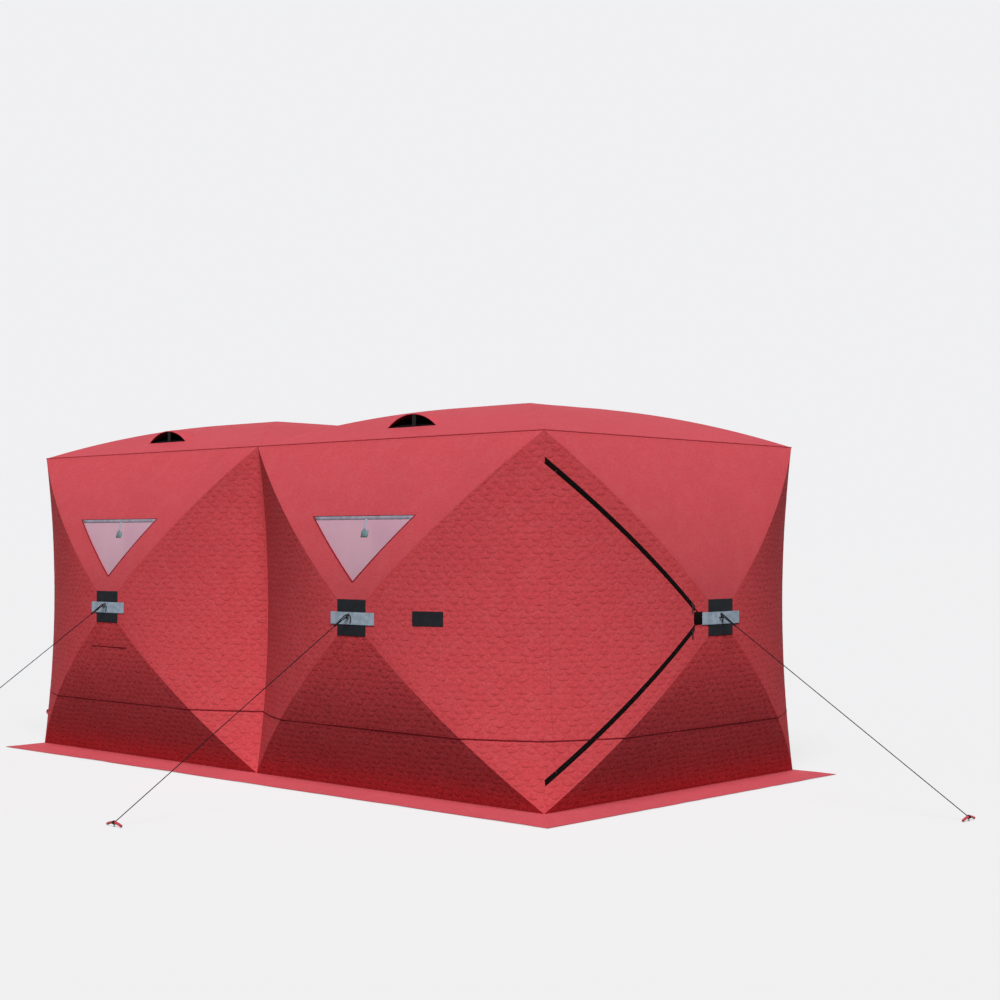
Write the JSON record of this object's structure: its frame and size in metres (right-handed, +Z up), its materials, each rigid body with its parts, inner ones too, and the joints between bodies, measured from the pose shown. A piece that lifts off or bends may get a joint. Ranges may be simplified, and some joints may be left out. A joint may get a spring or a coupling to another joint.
{
  "type": "two-bay hub-style ice fishing shelter",
  "caption": "Pop-up insulated ice fishing hut: cloth bays pushed outward by hubs and bowed poles, with a zipped door flap, windows, roof vents, snow skirt and guy ropes.",
  "frame": {"origin": "on the ground at the middle of the floor", "axes": "+X along the long walls towards the end wall with the door, -Y out of the front long wall, +Z up"},
  "size_m": [6.132, 4.332, 1.7609],
  "materials": {
    "shell_cloth": "smooth coated red shelter cloth, slight sheen",
    "roof_cloth": "smooth coated red roof cloth, slight sheen",
    "quilted_cloth": "insulated red cloth quilted in offset waves",
    "skirt_cloth": "plain coated red skirt cloth",
    "window_film": "clear cold-proof vinyl film",
    "zip": "black coil zip on woven tape",
    "fibreglass_pole": "black solid glass-fibre pole",
    "moulded_fitting": "black moulded nylon",
    "vent_cloth": "dark red-black vent hood cloth",
    "strut": "stiff dark webbing strut",
    "black_patch": "heavy black woven reinforcing patch",
    "grey_webbing": "grey woven webbing",
    "rope": "dark braided guy rope",
    "anchor_plastic": "red moulded anchor handle"
  },
  "bodies": {
    "shelter": {"back_left_lower_panel": "quilted_cloth", "back_left_side_panels": "quilted_cloth", "back_left_upper_panel": "shell_cloth", "back_right_lower_panel": "quilted_cloth", "back_right_side_panels": "quilted_cloth", "back_right_upper_panel": "shell_cloth", "back_skirt": "skirt_cloth", "back_windows": "window_film", "door_hinge_strip": "quilted_cloth", "door_lower_strip": "quilted_cloth", "door_upper_strip": "quilted_cloth", "frame_zips": "zip", "front_left_lower_panel": "quilted_cloth", "front_left_side_panels": "quilted_cloth", "front_left_upper_panel": "shell_cloth", "front_right_lower_panel": "quilted_cloth", "front_right_side_panels": "quilted_cloth", "front_right_upper_panel": "shell_cloth", "front_skirt": "skirt_cloth", "front_windows": "window_film", "guy_ropes": "rope", "hub_patches": "black_patch", "hub_straps": "grey_webbing", "ice_anchors": "anchor_plastic", "left_end_lower_panel": "quilted_cloth", "left_end_side_panels": "quilted_cloth", "left_end_upper_panel": "shell_cloth", "left_skirt": "skirt_cloth", "lower_joints": "moulded_fitting", "plain_patch": "black_patch", "right_end_lower_panel": "quilted_cloth", "right_end_side_panels": "quilted_cloth", "right_end_upper_panel": "shell_cloth", "right_skirt": "skirt_cloth", "roof_hubs": "moulded_fitting", "roof_left_back_panel": "roof_cloth", "roof_left_front_panel": "roof_cloth", "roof_left_left_panel": "roof_cloth", "roof_left_right_panel": "roof_cloth", "roof_poles": "fibreglass_pole", "roof_right_back_panel": "roof_cloth", "roof_right_front_panel": "roof_cloth", "roof_right_left_panel": "roof_cloth", "roof_right_right_panel": "roof_cloth", "upper_joints": "moulded_fitting", "vent_hoods": "vent_cloth", "vent_struts": "strut", "wall_hubs": "moulded_fitting", "wall_poles": "fibreglass_pole"},
    "door": {"door_flap": "quilted_cloth", "flap_zips": "zip"}
  },
  "joints": [
    {"name": "door_swing", "type": "hinge", "parent": "shelter", "child": "door", "pos_m": [1.8168, -0.845, 0], "axis": [0, 0, -1], "range_deg": [0, 120]}
  ]
}
